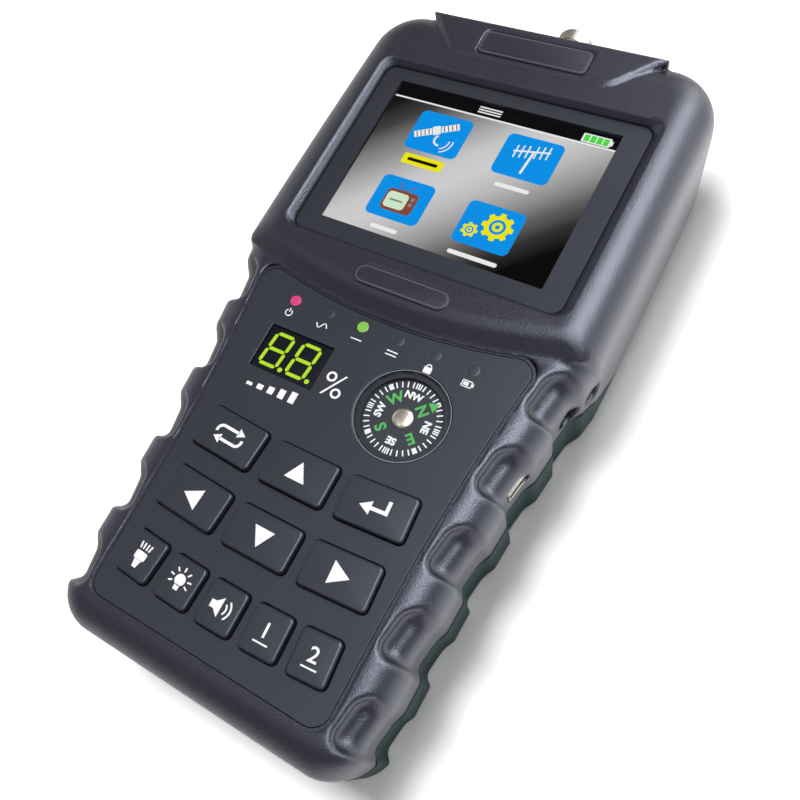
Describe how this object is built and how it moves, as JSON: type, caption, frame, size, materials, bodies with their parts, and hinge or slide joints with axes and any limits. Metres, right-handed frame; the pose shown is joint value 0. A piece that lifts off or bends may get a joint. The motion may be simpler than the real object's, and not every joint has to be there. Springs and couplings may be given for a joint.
{
  "type": "satellite signal meter",
  "caption": "Handheld meter for aiming an aerial: colour screen, digit display, compass, lamps and keypad in a waisted housing with finger scoops, with threaded coaxial sockets at the top.",
  "frame": {"origin": "on the flat back, under the middle of the housing", "axes": "+X across the face to the right, +Y along the length towards the sockets, +Z out of the face"},
  "size_m": [0.0928, 0.1918, 0.0405],
  "materials": {
    "housing_abs": "fine grained satin charcoal ABS",
    "panel_abs": "smooth satin charcoal ABS",
    "key_abs": "satin charcoal key caps with white print",
    "trim_plastic": "plain dark plate",
    "window_acrylic": "clear acrylic with a dark printed border",
    "display_panel": "lit colour display",
    "tray_steel": "stamped steel",
    "mat_rubber": "matt silicone",
    "lamp_pink": "lit red lamp",
    "lamp_lime": "lit green lamp",
    "lamp_smoke": "unlit lamp",
    "digit_resin": "black resin with lit segments",
    "card_plastic": "printed card",
    "cap_metal": "bright turned cap",
    "cover_acrylic": "clear polished",
    "pin_steel": "turned steel",
    "board_laminate": "green solder mask",
    "socket_nickel": "nickel plate",
    "insulator_plastic": "milky insulator",
    "torch_clear": "clear moulded lens",
    "torch_phosphor": "pale yellow lamp",
    "black_moulding": "black moulding",
    "cell_wrap": "blue sleeve over a metal cell",
    "speaker_black": "black frame and cone"
  },
  "bodies": {
    "housing": {"front_housing": "housing_abs", "rear_housing": "housing_abs", "control_panel": "panel_abs", "compass_well": "panel_abs", "brow_plate": "trim_plastic", "chin_badge": "trim_plastic", "screen_window": "window_acrylic", "display_glass": "display_panel", "display_tray": "tray_steel", "tuner_can": "tray_steel", "keypad_mat": "mat_rubber", "lamp_red": "lamp_pink", "lamp_green": "lamp_lime", "lamps_unlit": "lamp_smoke", "digit_display": "digit_resin", "compass_cover": "cover_acrylic", "compass_pin": "pin_steel", "case_screws": "pin_steel", "board_screws": "pin_steel", "main_board": "board_laminate", "sat_socket": "socket_nickel", "sat_nut": "socket_nickel", "aerial_socket": "socket_nickel", "aerial_nut": "socket_nickel", "power_pin": "socket_nickel", "data_socket": "socket_nickel", "sat_insulator": "insulator_plastic", "aerial_insulator": "insulator_plastic", "torch_lens": "torch_clear", "torch_lamp": "torch_phosphor", "power_jack": "black_moulding", "sound_jack": "black_moulding", "data_tongue": "black_moulding", "battery_cradle": "black_moulding", "battery_cells": "cell_wrap", "speaker": "speaker_black"},
    "recall_key": {"key_recall": "key_abs"},
    "up_key": {"key_up": "key_abs"},
    "enter_key": {"key_enter": "key_abs"},
    "left_key": {"key_left": "key_abs"},
    "down_key": {"key_down": "key_abs"},
    "right_key": {"key_right": "key_abs"},
    "torch_key": {"key_torch": "key_abs"},
    "light_key": {"key_light": "key_abs"},
    "sound_key": {"key_sound": "key_abs"},
    "one_key": {"key_one": "key_abs"},
    "two_key": {"key_two": "key_abs"},
    "compass_needle_card": {"compass_card": "card_plastic", "compass_cap": "cap_metal"}
  },
  "joints": [
    {"name": "recall_press", "type": "slide", "parent": "housing", "child": "recall_key", "axis": [0, 0, -1], "range_m": [0, 0.001], "stiffness_N_per_m": 1200},
    {"name": "up_press", "type": "slide", "parent": "housing", "child": "up_key", "axis": [0, 0, -1], "range_m": [0, 0.001], "stiffness_N_per_m": 1200},
    {"name": "enter_press", "type": "slide", "parent": "housing", "child": "enter_key", "axis": [0, 0, -1], "range_m": [0, 0.001], "stiffness_N_per_m": 1200},
    {"name": "left_press", "type": "slide", "parent": "housing", "child": "left_key", "axis": [0, 0, -1], "range_m": [0, 0.001], "stiffness_N_per_m": 1200},
    {"name": "down_press", "type": "slide", "parent": "housing", "child": "down_key", "axis": [0, 0, -1], "range_m": [0, 0.001], "stiffness_N_per_m": 1200},
    {"name": "right_press", "type": "slide", "parent": "housing", "child": "right_key", "axis": [0, 0, -1], "range_m": [0, 0.001], "stiffness_N_per_m": 1200},
    {"name": "torch_press", "type": "slide", "parent": "housing", "child": "torch_key", "axis": [0, 0, -1], "range_m": [0, 0.001], "stiffness_N_per_m": 1200},
    {"name": "light_press", "type": "slide", "parent": "housing", "child": "light_key", "axis": [0, 0, -1], "range_m": [0, 0.001], "stiffness_N_per_m": 1200},
    {"name": "sound_press", "type": "slide", "parent": "housing", "child": "sound_key", "axis": [0, 0, -1], "range_m": [0, 0.001], "stiffness_N_per_m": 1200},
    {"name": "one_press", "type": "slide", "parent": "housing", "child": "one_key", "axis": [0, 0, -1], "range_m": [0, 0.001], "stiffness_N_per_m": 1200},
    {"name": "two_press", "type": "slide", "parent": "housing", "child": "two_key", "axis": [0, 0, -1], "range_m": [0, 0.001], "stiffness_N_per_m": 1200},
    {"name": "compass_turn", "type": "hinge", "parent": "housing", "child": "compass_needle_card", "pos_m": [0.0138, -0.0157, 0.034], "axis": [0, 0, 1], "continuous": true}
  ]
}
